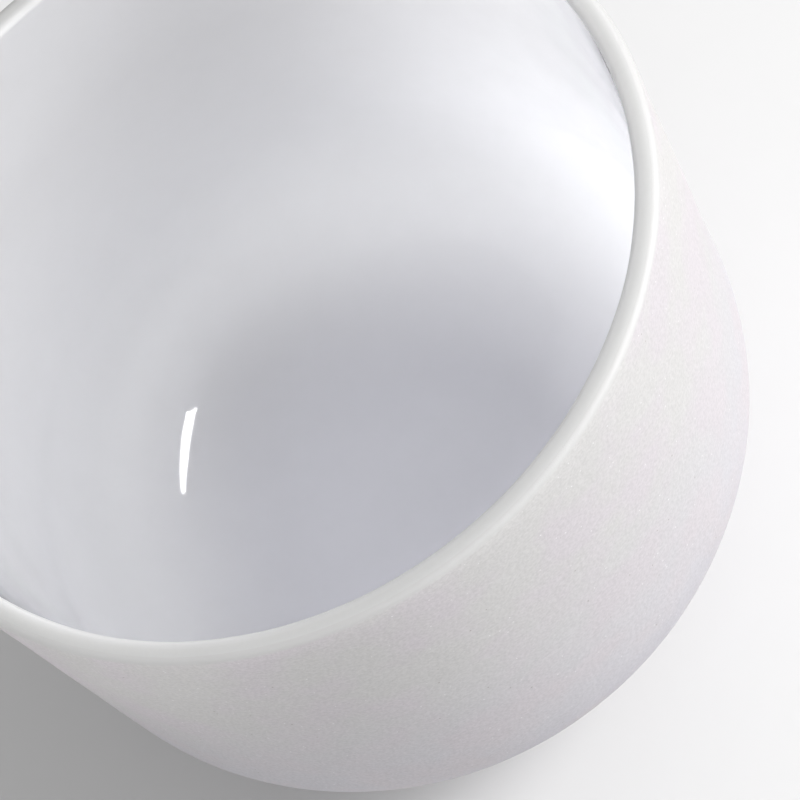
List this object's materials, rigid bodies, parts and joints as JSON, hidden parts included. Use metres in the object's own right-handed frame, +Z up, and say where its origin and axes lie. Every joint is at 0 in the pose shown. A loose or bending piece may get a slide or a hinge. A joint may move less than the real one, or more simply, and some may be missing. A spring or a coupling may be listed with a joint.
{
  "type": "singing bowl",
  "caption": "Frosted quartz singing bowl: one tall round vessel with a glazed inside and a ground rim, standing loose on a rubber ring.",
  "frame": {"origin": "on the table under the bowl's axis, at the middle of the ring's foot", "axes": "+Z up along the bowl's axis, towards the mouth; the part is a body of revolution, so +X is free"},
  "size_m": [0.203, 0.203, 0.163],
  "materials": {
    "frosted_quartz": "sandy frosting outside, smooth glaze inside, satin ground rim",
    "ring_rubber": "matte"
  },
  "bodies": {
    "ring": {"support_ring": "ring_rubber"},
    "bowl": {"bowl": "frosted_quartz"}
  },
  "joints": [
    {"name": "bowl_lift", "type": "slide", "parent": "ring", "child": "bowl", "axis": [0, 0, 1], "range_m": [0, 0.06]}
  ]
}
